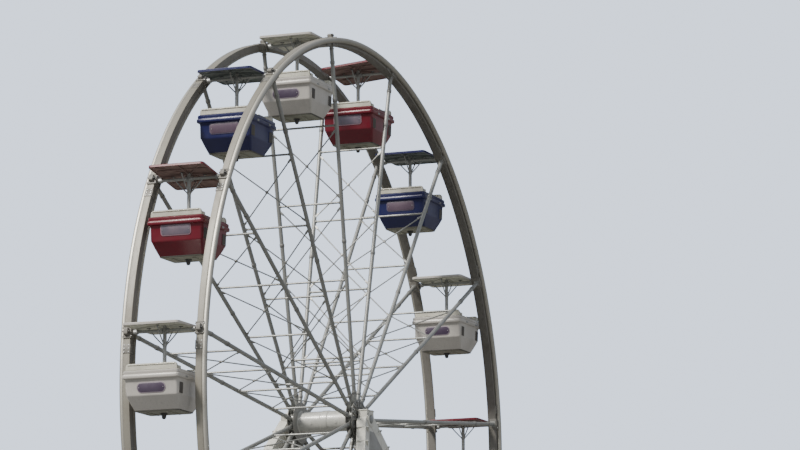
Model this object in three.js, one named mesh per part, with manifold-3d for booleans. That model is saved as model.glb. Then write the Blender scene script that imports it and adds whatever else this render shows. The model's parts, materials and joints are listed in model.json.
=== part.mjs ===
// A portable fairground wheel, 65 feet tall: fifteen open tubs with canopies hang between two rims.
// Fifteen ladder-like spoke frames join the rims to the hub, and two A-frame towers on a ground frame carry the shaft.
// Millimetres, +Z up, the shaft along X, the wheel's plane is YZ. The origin is on the ground below the hub.
import * as THREE from "three";
import { mergeVertices } from "three/addons/utils/BufferGeometryUtils.js";
import Module from "manifold-3d";

const wasm = await Module();
wasm.setup();

// Driving dimensions of the wheel
const TUB_COUNT = 15;
const FIRST_TUB_DEG = 6;
const PITCH_DEG = 360 / TUB_COUNT;
const WHEEL_RADIUS = 8400;
const HUB_HEIGHT = 11200;
const FIT_GAP = 0.3;

// Rims: bent box tube with an inboard flange, in fifteen lengths each, joined at lugs that hold the tubs' pivots
const RIM_X = 813;
const RIM_WIDTH = 150;
const RIM_DEPTH = 200;
const RIM_SIDES = 45;
const RIM_FLANGE_REACH = 50;
const RIM_FLANGE_SHEET = 25;
const LUG_LENGTH = 250;
const LUG_DEPTH = 214;
const LUG_WIDTH = 184;
const EAR_LENGTH = 150;
const EAR_WIDTH = 90;
const EAR_TOP = WHEEL_RADIUS + 185;
const PIVOT_BOSS_RADIUS = 65;
const PIVOT_BOSS_END_X = 700;

// Hub: a drum between two fifteen-sided flanges, on a shaft
const DRUM_RADIUS = 235;
const DRUM_SIDES = 20;
const FLANGE_X = 700;
const FLANGE_APOTHEM = 350;
const FLANGE_WIDTH = 120;
const SHAFT_RADIUS = 90;
const SHAFT_SIDES = 32;
const SHAFT_END_X = 1090;

// Spoke frames: two spokes tied by rungs, with crossed braces between the rungs
const SPOKE_SIZE = 105;
const RUNG_RADII = [6540, 4830, 3110, 1400];
const RUNG_SIZE = 60;
const BRACE_SIZE = 42;
const BRACE_SETBACK = 110;

// Tubs, measured down from the pivot
const LIP_TOP = -930;
const LIP_BASE = -1040;
const BAND_BASE = -1390;
const TUB_BASE = -1650;
const PAN_BASE = -1690;
const NUB_BASE = -1810;
const SEAT_BACK_TOP = -770;
const SEAT_TOP = -1130;
const TUB_FLOOR = -1610;
const LIP_HALF_X = 620;
const LIP_HALF_Y = 680;
const WALL_HALF_X = 575;
const WALL_HALF_Y = 640;
const BAND_HALF_X = 550;
const BAND_HALF_Y = 585;
const BASE_HALF_X = 500;
const BASE_HALF_Y = 370;
const INNER_HALF_X = 515;
const FOOT_WELL_HALF_X = 460;
const SEAT_BACK_INNER_Y = 560;
const SEAT_BACK_HALF_X = 575;
const SEAT_REAR_Y = 510;
const SEAT_FRONT_Y = 200;
const CORNER_CUT = 90;

// Canopy and its post, measured from the pivot
const CANOPY_HALF_X = 630;
const CANOPY_HALF_Y = 700;
const EAVE_BASE = 40;
const EAVE_TOP = 92;
const CANOPY_PEAK = 152;
const CANOPY_SHEET = 24;
const POST_RADIUS = 38;
const POST_SIDES = 8;
const POST_FOOT_RADIUS = 56;
const POST_FOOT_HEIGHT = 14;
const PIVOT_TUBE_RADIUS = 32;
const ROOF_BAR_BASE = 34;
const ROOF_BAR_SIZE = 32;
const CURVED_BRACE_REACH = 370;
const CURVED_BRACE_DROP = -340;
const CURVED_BRACE_SIZE = 26;

// Towers: from the shaft down, each leg spreads along Y and leans out along X
const HEAD_X = 935;
const HEAD_WIDTH = 210;
const HEAD_HALF_Y = 190;
const HEAD_TOP = 205;
const HEAD_BASE = -250;
const SHAFT_CLEARANCE = 0.8;
const LEG_SPREAD = 0.7;
const LEG_LEAN = 0.27;
const LEG_WIDTH = 210;
const LEG_DEPTH = 280;
const LEG_APEX = new THREE.Vector3(HEAD_X, 150, HUB_HEIGHT - 60);
const STUB_LENGTH = 1150;
const GUSSET_BASE = -820;
const TIE_HEIGHT = 5000;
const TIE_SIZE = 160;

// Ground frame: two sills below the legs, joined by cross beams, on pads
const PAD_HEIGHT = 60;
const SILL_TOP = 400;
const SILL_WIDTH = 300;
const SILL_HALF_LENGTH = 8350;
const PAD_SIZE = 520;
const PAD_COUNT = 5;
const CROSS_BEAM_Y = 5200;
const CROSS_BEAM_WIDTH = 220;
const CROSS_BEAM_DEPTH = 260;

// The tubs' colours repeat in this order, counted anticlockwise from the first tub
const COLOURS = ["red", "white", "blue"];

function paint(color, roughness, metalness) {
  return new THREE.MeshStandardMaterial({ color, roughness, metalness });
}

const finishes = {
  frame: paint(0xd9d6c8, 0.5, 0.1),
  tower: paint(0xcfcabb, 0.5, 0.1),
  steel: paint(0x4b4d4c, 0.55, 0.5),
  white: paint(0xc4bfb4, 0.35, 0),
  red: paint(0x7a1422, 0.35, 0),
  blue: paint(0x1d2452, 0.35, 0),
};

// Solids are joined and cut with these three, from closed three.js geometries.
function solidOf(geometry) {
  const bare = geometry.clone();
  bare.deleteAttribute("normal");
  bare.deleteAttribute("uv");
  const merged = mergeVertices(bare, 1e-3);
  return new wasm.Manifold(
    new wasm.Mesh({
      numProp: 3,
      vertProperties: new Float32Array(merged.attributes.position.array),
      triVerts: new Uint32Array(merged.index.array),
    }),
  );
}

function join(...geometries) {
  return geometries.map(solidOf).reduce((whole, piece) => whole.add(piece));
}

function geometryOf(solid) {
  const made = solid.getMesh();
  const geometry = new THREE.BufferGeometry();
  geometry.setAttribute("position", new THREE.BufferAttribute(made.vertProperties, 3));
  geometry.setIndex(new THREE.BufferAttribute(made.triVerts, 1));
  const faceted = geometry.toNonIndexed();
  faceted.computeVertexNormals();
  return faceted;
}

// A box between two corners
function block(x0, x1, y0, y1, z0, z1) {
  const box = new THREE.BoxGeometry(x1 - x0, y1 - y0, z1 - z0);
  return box.translate((x0 + x1) / 2, (y0 + y1) / 2, (z0 + z1) / 2);
}

// A round bar along X
function barAlongX(radius, x0, x1, sides) {
  const bar = new THREE.CylinderGeometry(radius, radius, x1 - x0, sides);
  return bar.rotateZ(-Math.PI / 2).translate((x0 + x1) / 2, 0, 0);
}

function outline(points) {
  return new THREE.Shape(points.map(([a, b]) => new THREE.Vector2(a, b)));
}

// An outline in the plane of X and Y, given thickness along Z on both sides of that plane
function plate(points, thickness) {
  const shape = outline(points);
  const extruded = new THREE.ExtrudeGeometry(shape, { depth: thickness, bevelEnabled: false });
  return extruded.translate(0, 0, -thickness / 2);
}

// An outline of (y, z) points, given thickness along X
function crossPlate(points, thickness) {
  return plate(points, thickness).rotateX(Math.PI / 2).rotateZ(Math.PI / 2);
}

// An outline of (x, z) points, given thickness along Y
function frontPlate(points, thickness) {
  return plate(points, thickness).rotateX(Math.PI / 2);
}

function mirrored(points) {
  return [...points, ...points.map(([a, b]) => [-a, b]).reverse()];
}

// A straight member between two points of the plane of X and Y, its ends cut along X
function slantMember(x0, r0, x1, r1, width, thickness) {
  const across = (width / 2) * Math.hypot(1, (x1 - x0) / (r1 - r0));
  const points = [
    [x0 - across, r0],
    [x0 + across, r0],
    [x1 + across, r1],
    [x1 - across, r1],
  ];
  return plate(r1 > r0 ? points : points.reverse(), thickness);
}

// A square bar from one point to another
function beam(from, to, width, depth) {
  const along = new THREE.Vector3().subVectors(to, from);
  const bar = new THREE.BoxGeometry(width, depth, along.length());
  const turn = new THREE.Matrix4().lookAt(to, from, new THREE.Vector3(1, 0, 0));
  const middle = new THREE.Vector3().addVectors(from, to).multiplyScalar(0.5);
  return bar.applyMatrix4(turn).translate(middle.x, middle.y, middle.z);
}

function tubAngle(index) {
  return THREE.MathUtils.degToRad(FIRST_TUB_DEG + index * PITCH_DEG);
}

// One rim in its own plane, with a flange that reaches in towards the tubs.
// At each tub it has a lug with an ear standing on it, and the boss of the pivot on the inner side.
function rimGeometry(side) {
  const inner = WHEEL_RADIUS - RIM_DEPTH / 2;
  const outer = WHEEL_RADIUS + RIM_DEPTH / 2;
  const half = RIM_WIDTH / 2;
  const flangeEnd = -half - RIM_FLANGE_REACH;
  const profile = [
    [inner, flangeEnd],
    [inner + RIM_FLANGE_SHEET, flangeEnd],
    [inner + RIM_FLANGE_SHEET, -half],
    [outer, -half],
    [outer, half],
    [inner, half],
    [inner, flangeEnd],
  ].map(([r, h]) => new THREE.Vector2(r, side * h));
  if (side < 0) profile.reverse();
  const ring = new THREE.LatheGeometry(profile, RIM_SIDES).rotateZ(-Math.PI / 2);
  let solid = solidOf(ring.rotateX(tubAngle(0) - Math.PI / 2));
  const bossInner = side > 0 ? PIVOT_BOSS_END_X - RIM_X : 0;
  const bossOuter = side > 0 ? 0 : RIM_X - PIVOT_BOSS_END_X;
  for (let i = 0; i < TUB_COUNT; i++) {
    const lug = new THREE.BoxGeometry(LUG_WIDTH, LUG_DEPTH, LUG_LENGTH);
    const boss = barAlongX(PIVOT_BOSS_RADIUS, bossInner, bossOuter, 8);
    const earHeight = EAR_TOP - WHEEL_RADIUS;
    const ear = new THREE.BoxGeometry(EAR_WIDTH, earHeight, EAR_LENGTH).translate(0, earHeight / 2, 0);
    for (const piece of [lug, boss, ear]) {
      piece.translate(0, WHEEL_RADIUS, 0).rotateX(tubAngle(i));
      solid = solid.add(solidOf(piece));
    }
  }
  return geometryOf(solid);
}

// Hub drum, flanges and shaft; each flange has a flat for every spoke
function hubGeometry() {
  const flangeRadius = FLANGE_APOTHEM / Math.cos(Math.PI / TUB_COUNT);
  const turn = tubAngle(0) + Math.PI / TUB_COUNT - Math.PI / 2;
  const flanges = [-FLANGE_X, FLANGE_X].map((x) =>
    barAlongX(flangeRadius, x - FLANGE_WIDTH / 2, x + FLANGE_WIDTH / 2, TUB_COUNT).rotateX(turn),
  );
  const drum = barAlongX(DRUM_RADIUS, -FLANGE_X, FLANGE_X, DRUM_SIDES);
  const shaft = barAlongX(SHAFT_RADIUS, -SHAFT_END_X, SHAFT_END_X, SHAFT_SIDES);
  return geometryOf(join(drum, shaft, ...flanges));
}

// A spoke frame lies in the plane of X and Y, its spokes running out along +Y
function spokeFrameGeometry() {
  const start = FLANGE_APOTHEM + FIT_GAP;
  const end = WHEEL_RADIUS - LUG_DEPTH / 2 - FIT_GAP;
  const spokeX = (r) => FLANGE_X + ((RIM_X - FLANGE_X) * (r - start)) / (end - start);
  const pieces = [-1, 1].map((side) =>
    slantMember(side * FLANGE_X, start, side * RIM_X, end, SPOKE_SIZE, SPOKE_SIZE),
  );
  RUNG_RADII.forEach((r, i) => {
    const reach = spokeX(r);
    pieces.push(block(-reach, reach, r - RUNG_SIZE / 2, r + RUNG_SIZE / 2, -RUNG_SIZE / 2, RUNG_SIZE / 2));
    if (i === RUNG_RADII.length - 1) return;
    const outerR = r - BRACE_SETBACK;
    const innerR = RUNG_RADII[i + 1] + BRACE_SETBACK;
    for (const side of [-1, 1]) {
      pieces.push(
        slantMember(-side * spokeX(innerR), innerR, side * spokeX(outerR), outerR, BRACE_SIZE, BRACE_SIZE),
      );
    }
  });
  return geometryOf(join(...pieces));
}

// A tub: a moulded shell with two facing benches, open above, with its seat backs standing above the lip
function tubGeometry() {
  const side = crossPlate(
    mirrored([
      [BASE_HALF_Y - 20, PAN_BASE],
      [BASE_HALF_Y, TUB_BASE],
      [BAND_HALF_Y, BAND_BASE],
      [WALL_HALF_Y, LIP_BASE],
      [LIP_HALF_Y, LIP_BASE],
      [LIP_HALF_Y, LIP_TOP],
      [WALL_HALF_Y - 10, LIP_TOP],
      [WALL_HALF_Y - 15, SEAT_BACK_TOP],
    ]),
    2 * LIP_HALF_X,
  );
  const front = frontPlate(
    mirrored([
      [BASE_HALF_X - 10, PAN_BASE],
      [BASE_HALF_X, TUB_BASE],
      [BAND_HALF_X, BAND_BASE],
      [WALL_HALF_X, LIP_BASE],
      [LIP_HALF_X, LIP_BASE],
      [LIP_HALF_X, LIP_TOP],
      [SEAT_BACK_HALF_X, LIP_TOP],
      [SEAT_BACK_HALF_X, SEAT_BACK_TOP],
    ]),
    2 * LIP_HALF_Y,
  );
  const plan = plate(
    mirrored([
      [LIP_HALF_X - CORNER_CUT, -LIP_HALF_Y],
      [LIP_HALF_X, -LIP_HALF_Y + CORNER_CUT],
      [LIP_HALF_X, LIP_HALF_Y - CORNER_CUT],
      [LIP_HALF_X - CORNER_CUT, LIP_HALF_Y],
    ]),
    2 * LIP_HALF_X - 2 * NUB_BASE,
  );
  const seating = crossPlate(
    mirrored([
      [SEAT_REAR_Y, SEAT_TOP],
      [SEAT_BACK_INNER_Y, SEAT_BACK_TOP],
      [SEAT_BACK_INNER_Y, 0],
    ]),
    2 * INNER_HALF_X,
  );
  const footWell = block(
    -FOOT_WELL_HALF_X,
    FOOT_WELL_HALF_X,
    -SEAT_FRONT_Y,
    SEAT_FRONT_Y,
    TUB_FLOOR,
    SEAT_TOP + 10,
  );
  const sideGaps = block(-LIP_HALF_X, LIP_HALF_X, -SEAT_REAR_Y, SEAT_REAR_Y, LIP_TOP, 0);
  const nub = new THREE.CylinderGeometry(62, 38, PAN_BASE - NUB_BASE + 10, 8).rotateX(Math.PI / 2);
  nub.translate(0, 0, (PAN_BASE + NUB_BASE + 10) / 2);
  const shell = solidOf(side).intersect(solidOf(front)).intersect(solidOf(plan));
  return geometryOf(shell.subtract(join(seating, footWell, sideGaps)).add(solidOf(nub)));
}

// A four-sided hip: a rectangle at the base drawn in to a small one at the top
function hip(halfX, halfY, baseZ, topZ, topHalf) {
  const cone = new THREE.CylinderGeometry(topHalf, Math.SQRT2, topZ - baseZ, 4, 1, false, Math.PI / 4);
  cone.rotateX(Math.PI / 2).scale(halfX, halfY, 1);
  return cone.translate(0, 0, (baseZ + topZ) / 2);
}

// A curved brace from the post out to the bar at height top, along the direction given
function curvedBrace(directionX, directionY, top) {
  const at = (reach, z) => new THREE.Vector3(directionX * reach, directionY * reach, z);
  const route = new THREE.QuadraticBezierCurve3(
    at(POST_RADIUS - 15, CURVED_BRACE_DROP),
    at(POST_RADIUS + 30, top - 60),
    at(CURVED_BRACE_REACH, top),
  );
  const half = CURVED_BRACE_SIZE / 2;
  const section = outline([
    [-half, -half],
    [half, -half],
    [half, half],
    [-half, half],
  ]);
  return new THREE.ExtrudeGeometry(section, { steps: 2, extrudePath: route });
}

// A canopy on its post, with the pivot tube that hangs between the two rims
function canopyGeometry() {
  const hipTop = 0.1;
  const roof = join(
    block(-CANOPY_HALF_X, CANOPY_HALF_X, -CANOPY_HALF_Y, CANOPY_HALF_Y, EAVE_BASE, EAVE_TOP),
    hip(CANOPY_HALF_X, CANOPY_HALF_Y, EAVE_TOP, CANOPY_PEAK, hipTop),
  );
  const innerX = CANOPY_HALF_X - CANOPY_SHEET;
  const innerY = CANOPY_HALF_Y - CANOPY_SHEET;
  const hollow = join(
    block(-innerX, innerX, -innerY, innerY, EAVE_BASE - 10, EAVE_TOP - CANOPY_SHEET),
    hip(innerX, innerY, EAVE_TOP - CANOPY_SHEET, CANOPY_PEAK - CANOPY_SHEET, hipTop),
  );
  const footZ = TUB_FLOOR + FIT_GAP;
  const postTop = CANOPY_PEAK - CANOPY_SHEET / 2;
  const post = new THREE.CylinderGeometry(POST_RADIUS, POST_RADIUS, postTop - footZ, POST_SIDES);
  post.rotateX(Math.PI / 2).translate(0, 0, (postTop + footZ) / 2);
  const foot = new THREE.CylinderGeometry(POST_FOOT_RADIUS, POST_FOOT_RADIUS, POST_FOOT_HEIGHT, POST_SIDES);
  foot.rotateX(Math.PI / 2).translate(0, 0, footZ + POST_FOOT_HEIGHT / 2);
  const tubeEnd = PIVOT_BOSS_END_X - FIT_GAP;
  const pivotTube = barAlongX(PIVOT_TUBE_RADIUS, -tubeEnd, tubeEnd, 8);
  const barHalf = ROOF_BAR_SIZE / 2;
  const barMiddle = ROOF_BAR_BASE + barHalf;
  const barReach = innerY + CANOPY_SHEET / 2;
  const roofBar = block(-barHalf, barHalf, -barReach, barReach, ROOF_BAR_BASE, ROOF_BAR_BASE + ROOF_BAR_SIZE);
  const braces = [
    curvedBrace(1, 0, 0),
    curvedBrace(-1, 0, 0),
    curvedBrace(0, 1, barMiddle),
    curvedBrace(0, -1, barMiddle),
  ];
  const shell = roof.subtract(hollow);
  return geometryOf(shell.add(join(post, foot, pivotTube, roofBar, ...braces)));
}

// Points down one leg: side is the tower's sign along X, end the leg's sign along Y
function legPoint(side, end, drop) {
  return new THREE.Vector3(
    side * (LEG_APEX.x + LEG_LEAN * drop),
    end * (LEG_APEX.y + LEG_SPREAD * drop),
    LEG_APEX.z - drop,
  );
}

const DROP_PER_LENGTH = 1 / Math.hypot(1, LEG_SPREAD, LEG_LEAN);

function legBeam(side, end, startLength, endLength, oversize = 0) {
  return beam(
    legPoint(side, end, startLength * DROP_PER_LENGTH),
    legPoint(side, end, endLength * DROP_PER_LENGTH),
    LEG_DEPTH + oversize,
    LEG_WIDTH + oversize,
  );
}

// The tower's head: bearing block, the stubs of both legs, and the gusset between them
function towerHeadGeometry(side) {
  const x0 = side * HEAD_X - HEAD_WIDTH / 2;
  const head = block(
    x0,
    x0 + HEAD_WIDTH,
    -HEAD_HALF_Y,
    HEAD_HALF_Y,
    HUB_HEIGHT + HEAD_BASE,
    HUB_HEIGHT + HEAD_TOP,
  );
  const stubs = [-1, 1].map((end) => legBeam(side, end, 0, STUB_LENGTH));
  const gussetDrop = -GUSSET_BASE;
  const gussetHalf = LEG_SPREAD * gussetDrop;
  const gusset = crossPlate(
    mirrored([
      [gussetHalf, GUSSET_BASE],
      [HEAD_HALF_Y, 0],
    ]),
    LEG_WIDTH * 0.6,
  );
  const lean = new THREE.Matrix4().set(1, 0, -side * LEG_LEAN, 0, 0, 1, 0, 0, 0, 0, 1, 0, 0, 0, 0, 1);
  gusset.applyMatrix4(lean).translate(side * HEAD_X, 0, HUB_HEIGHT);
  const bore = barAlongX(SHAFT_RADIUS + SHAFT_CLEARANCE, x0 - 400, x0 + HEAD_WIDTH + 400, SHAFT_SIDES);
  bore.translate(0, 0, HUB_HEIGHT);
  return geometryOf(join(head, gusset, ...stubs).subtract(solidOf(bore)));
}

function legGeometry(side, end) {
  const length = HUB_HEIGHT / DROP_PER_LENGTH;
  const leg = solidOf(legBeam(side, end, STUB_LENGTH + FIT_GAP, length));
  const belowSill = block(-9000, 9000, -12000, 12000, -3000, SILL_TOP + FIT_GAP);
  return geometryOf(leg.subtract(solidOf(belowSill)));
}

function tieGeometry(side) {
  const drop = LEG_APEX.z - TIE_HEIGHT;
  const front = legPoint(side, -1, drop);
  const back = legPoint(side, 1, drop);
  const length = HUB_HEIGHT / DROP_PER_LENGTH;
  const legs = [-1, 1].map((end) => legBeam(side, end, STUB_LENGTH, length, 2 * FIT_GAP));
  const whole = solidOf(beam(front, back, TIE_SIZE, TIE_SIZE)).subtract(join(...legs));
  const pieces = whole.decompose().sort((a, b) => b.volume() - a.volume());
  return geometryOf(pieces[0]);
}

// A sill stands on its pads, below both legs of a tower
const SILL_X = LEG_APEX.x + LEG_LEAN * (LEG_APEX.z - SILL_TOP);

function sillGeometry(side) {
  const x0 = side * SILL_X - SILL_WIDTH / 2;
  const pieces = [
    block(x0, x0 + SILL_WIDTH, -SILL_HALF_LENGTH, SILL_HALF_LENGTH, PAD_HEIGHT - 5, SILL_TOP),
  ];
  const padReach = SILL_HALF_LENGTH - PAD_SIZE / 2;
  for (let i = 0; i < PAD_COUNT; i++) {
    const y = -padReach + (2 * padReach * i) / (PAD_COUNT - 1);
    const x = side * SILL_X;
    const half = PAD_SIZE / 2;
    pieces.push(block(x - half, x + half, y - half, y + half, 0, PAD_HEIGHT));
  }
  return geometryOf(join(...pieces));
}

function crossBeamGeometry(y) {
  const reach = SILL_X - SILL_WIDTH / 2 - FIT_GAP;
  const half = CROSS_BEAM_WIDTH / 2;
  const top = SILL_TOP - 20;
  return block(-reach, reach, y - half, y + half, top - CROSS_BEAM_DEPTH, top);
}

const wheel = new THREE.Group();

function add(parent, name, geometry, finish) {
  const mesh = new THREE.Mesh(geometry, finish);
  mesh.name = name;
  parent.add(mesh);
  return mesh;
}

// The turning wheel, about a group centred on the shaft
const turning = new THREE.Group();
turning.position.z = HUB_HEIGHT;
wheel.add(turning);
add(turning, "hub", hubGeometry(), finishes.frame);
add(turning, "rim_near", rimGeometry(1), finishes.frame).position.x = RIM_X;
add(turning, "rim_far", rimGeometry(-1), finishes.frame).position.x = -RIM_X;

const spokeFrame = spokeFrameGeometry();
const tub = tubGeometry();
const canopy = canopyGeometry();
for (let i = 0; i < TUB_COUNT; i++) {
  const number = String(i + 1).padStart(2, "0");
  const angle = tubAngle(i);
  add(turning, "spoke_frame_" + number, spokeFrame, finishes.frame).rotation.x = angle;
  const colour = COLOURS[i % COLOURS.length];
  const hanging = new THREE.Group();
  hanging.position.set(0, WHEEL_RADIUS * Math.cos(angle), WHEEL_RADIUS * Math.sin(angle));
  turning.add(hanging);
  add(hanging, "tub_" + number, tub, finishes[colour]);
  add(hanging, "canopy_" + number, canopy, finishes[colour]);
}

// Towers and ground frame
for (const [sideName, side] of [
  ["near", 1],
  ["far", -1],
]) {
  add(wheel, "tower_head_" + sideName, towerHeadGeometry(side), finishes.tower);
  add(wheel, "tower_leg_front_" + sideName, legGeometry(side, -1), finishes.tower);
  add(wheel, "tower_leg_back_" + sideName, legGeometry(side, 1), finishes.tower);
  add(wheel, "tower_tie_" + sideName, tieGeometry(side), finishes.tower);
  add(wheel, "ground_sill_" + sideName, sillGeometry(side), finishes.steel);
}
add(wheel, "cross_beam_front", crossBeamGeometry(-CROSS_BEAM_Y), finishes.steel);
add(wheel, "cross_beam_back", crossBeamGeometry(CROSS_BEAM_Y), finishes.steel);

export default wheel;
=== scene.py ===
"""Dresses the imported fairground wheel: rims, hub, spokes, tubs, canopies, towers, light and camera."""

import json
import math

import bmesh
import bpy
from mathutils import Matrix, Vector


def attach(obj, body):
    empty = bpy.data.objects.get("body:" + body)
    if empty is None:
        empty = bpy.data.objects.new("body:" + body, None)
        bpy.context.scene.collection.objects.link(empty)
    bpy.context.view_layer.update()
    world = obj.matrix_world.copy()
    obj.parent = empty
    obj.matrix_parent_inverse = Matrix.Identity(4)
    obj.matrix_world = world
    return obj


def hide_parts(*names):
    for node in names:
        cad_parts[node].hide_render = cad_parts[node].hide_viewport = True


bl_info = {
    "name": "Fairground wheel dresser",
    "version": (1, 0, 0),
    "blender": (4, 5, 0),
    "location": "3D View > Sidebar > Wheel",
    "description": "Models the visible pieces of a fifteen-tub fairground wheel over its packed solids",
    "category": "Object",
}

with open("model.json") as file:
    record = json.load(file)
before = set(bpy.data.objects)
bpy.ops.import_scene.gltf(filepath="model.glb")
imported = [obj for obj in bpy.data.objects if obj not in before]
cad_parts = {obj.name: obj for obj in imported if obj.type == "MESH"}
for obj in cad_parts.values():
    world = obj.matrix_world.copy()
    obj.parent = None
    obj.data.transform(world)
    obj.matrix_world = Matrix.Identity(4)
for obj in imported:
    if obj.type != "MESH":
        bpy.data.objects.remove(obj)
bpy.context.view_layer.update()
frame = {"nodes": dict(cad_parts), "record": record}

JOINTS = {joint["name"]: joint for joint in frame["record"]["behaviour"]["joints"]}
HUB = Vector(JOINTS["wheel_spin"]["pos_m"])
NUMBERS = ["%02d" % number for number in range(1, 16)]
PIVOTS = {number: Vector(JOINTS["cabin_%s_swing" % number]["pos_m"]) for number in NUMBERS}
ANGLES = {number: math.atan2(pivot.z - HUB.z, pivot.y) for number, pivot in PIVOTS.items()}
TUB_COLOURS = {number: ("red", "white", "blue")[index % 3] for index, number in enumerate(NUMBERS)}
SIDES = {"near": 1, "far": -1}

WHEEL_RADIUS = 8.4
RIM_X = 0.813
RIM_INNER = 8.292
RIM_OUTER = 8.47
SPLICE_TURN = 2.35
EDGE_TUBE_PLACE = 8.415
EDGE_TUBE_RADIUS = 0.06
EDGE_TUBE_X = 0.103
FLANGE_X = 0.7
FLANGE_APOTHEM = 0.35
FLANGE_FACE = 0.0605
FLANGE_TURN = 96
SPOKE_START = FLANGE_APOTHEM + 0.0003
SPOKE_END = 8.2927
SPOKE_RADIUS = 0.046
RUNG_RADII = [6.54, 4.83, 3.11, 1.4]
RUNG_RADIUS = 0.023
BRACE_SETBACK = 0.11
BRACE_RADIUS = 0.015
# Where each sleeve sits on a spoke, from the shaft, and its length.
SLEEVES = ((7.93, 0.07), (8.23, 0.03), (7.1, 0.1), (3.97, 0.07), (0.62, 0.07))

HEAD_X = 0.935
LEG_SPREAD = 0.7
LEG_LEAN = 0.27
LEG_SLANT = math.sqrt(1 + LEG_SPREAD**2 + LEG_LEAN**2)
LEG_APEX = Vector((HEAD_X, 0.15, HUB.z - 0.06))
SPLICE_PLACE = 1.15
GUSSET_DROP = (0.275, 0.79)
SILL_TOP = 0.4
SILL_X = LEG_APEX.x + LEG_LEAN * (LEG_APEX.z - SILL_TOP)
PAD_PLACES = [-8.09, -4.045, 0.0, 4.045, 8.09]

# Each sign plate: width, height and level, then its face, what the face fades to, and its border.
SIGNS = {
    "white": (0.6, 0.18, -1.235, (0.07, 0.045, 0.085), (0.1, 0.08, 0.12), (0.3, 0.25, 0.3)),
    "blue": (0.66, 0.197, -1.194, (0.12, 0.08, 0.12), (0.17, 0.12, 0.15), (0.12, 0.1, 0.16)),
    "red": (0.65, 0.212, -1.16, (0.13, 0.115, 0.155), (0.22, 0.15, 0.19), (0.34, 0.2, 0.25)),
}
LININGS = {"white": (0.78, 0.78, 0.7), "blue": (0.22, 0.25, 0.25), "red": (0.3, 0.2, 0.185)}
# A tub's end wall above its knuckle: the knuckle's level and reach, and the wall's lean outward.
WALL_LEVEL = -1.36
WALL_REACH = 0.592
WALL_SLOPE = 0.147
WALL_TILT = math.degrees(math.atan2(0.042, 0.285))
SLOT_LEVEL = -1.25
BRACE_POINTS = [
    (0.035, -0.31), (0.045, -0.295), (0.06, -0.277), (0.085, -0.252), (0.13, -0.209), (0.18, -0.158),
    (0.23, -0.105), (0.28, -0.05), (0.325, 0.0), (0.345, 0.025), (0.353, 0.045), (0.356, 0.062),
]
# The two crooked canopies: degrees about X and about Y.
CANOPY_LEAN = {"07": (10, 0), "04": (4, 5)}

CAMERA_PLACE = (33.78, -78.73, 0.34)
CAMERA_AZIMUTH = 0.3864
CAMERA_ELEVATION = 0.1767
CAMERA_LENS = 174.76
KEY_SUN = Vector((-0.36, -0.62, 0.7))
FILL_SUN = Vector((0.9, -0.4, 0.2))
SUN_COLOUR = (1, 0.965, 0.9)

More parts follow.
